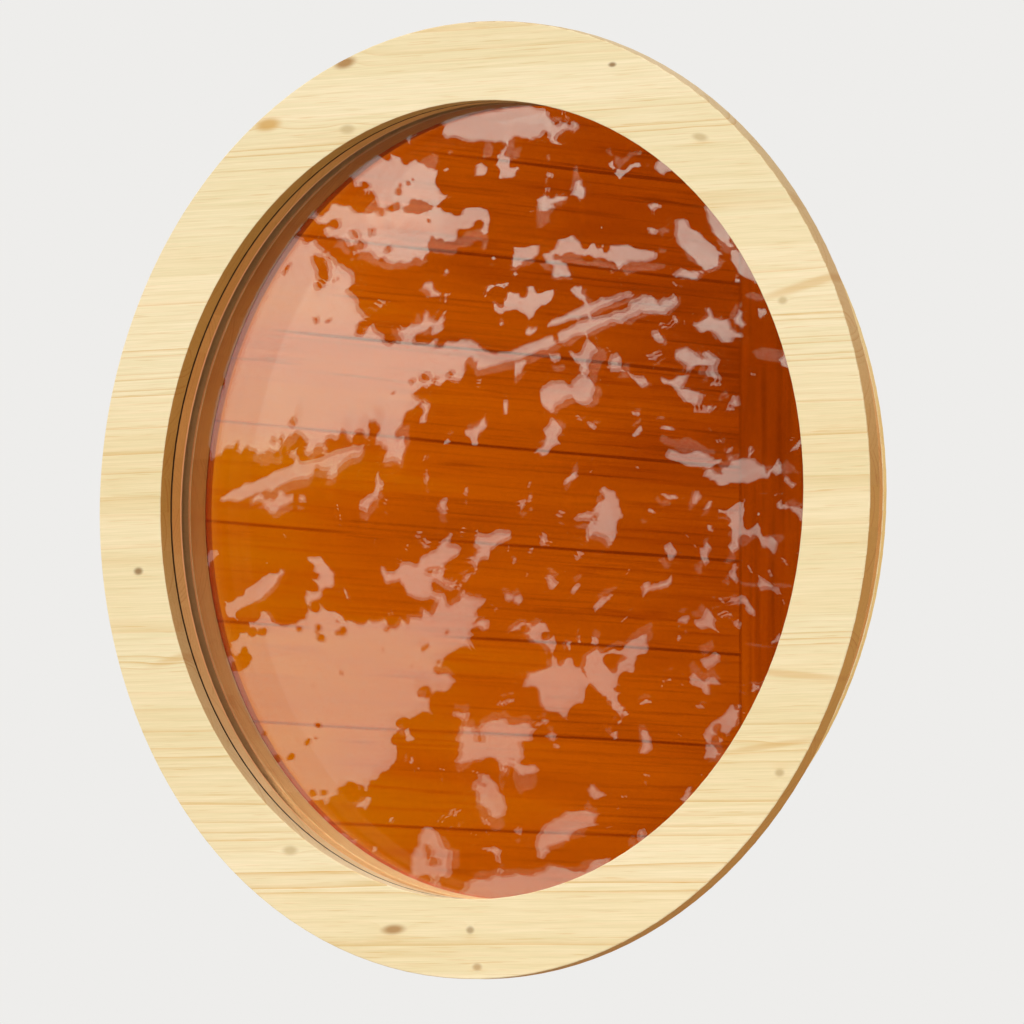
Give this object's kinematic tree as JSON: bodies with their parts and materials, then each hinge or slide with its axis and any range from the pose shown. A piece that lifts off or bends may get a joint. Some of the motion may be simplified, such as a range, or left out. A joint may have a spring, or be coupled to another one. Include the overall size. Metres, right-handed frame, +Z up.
{
  "type": "round window",
  "caption": "Fixed round timber window: flat outer trim ring, round frame with a clear sealed unit, and a sheet of orange glass held by a bead at the room end.",
  "frame": {"origin": "centre of the window in the outer face of the wall, where the outer trim ring seats", "axes": "+Y along the axis of the window into the room, +Z up, +X to the right as seen from outdoors"},
  "size_m": [0.88, 0.084, 0.88],
  "materials": {
    "spruce_panel": "planed and sanded, clear satin oil",
    "pine_frame": "planed, clear satin oil",
    "clear_glass": "polished float glass",
    "bronze_aluminium": "bronze anodised, satin",
    "zinc_steel": "zinc plated",
    "desiccant_beads": "fine beads",
    "butyl": "soft and matt",
    "edge_sealant": "smooth",
    "tan_foam": "closed-cell foam coloured like the wood, matt",
    "packer_plastic": "moulded",
    "orange_sheet": "rolled orange glass, through-coloured with fine draw lines",
    "yellow_zinc_screws": "yellow zinc plated"
  },
  "bodies": {
    "root": {"outer_trim_ring": "spruce_panel", "outer_stop_ring": "pine_frame", "glazing_ring": "pine_frame", "inner_stop_ring": "pine_frame", "glazing_bead": "pine_frame", "outer_glass_pane": "clear_glass", "inner_glass_pane": "clear_glass", "spacer_bar": "bronze_aluminium", "spacer_key": "zinc_steel", "desiccant": "desiccant_beads", "butyl_seals": "butyl", "edge_sealant": "edge_sealant", "outer_glazing_tape": "tan_foam", "inner_glazing_tape": "tan_foam", "setting_blocks": "packer_plastic", "location_blocks": "packer_plastic", "tinted_sheet": "orange_sheet", "sheet_tape": "tan_foam", "trim_screws": "yellow_zinc_screws", "frame_screws": "yellow_zinc_screws", "bead_screws": "yellow_zinc_screws"}
  },
  "joints": []
}
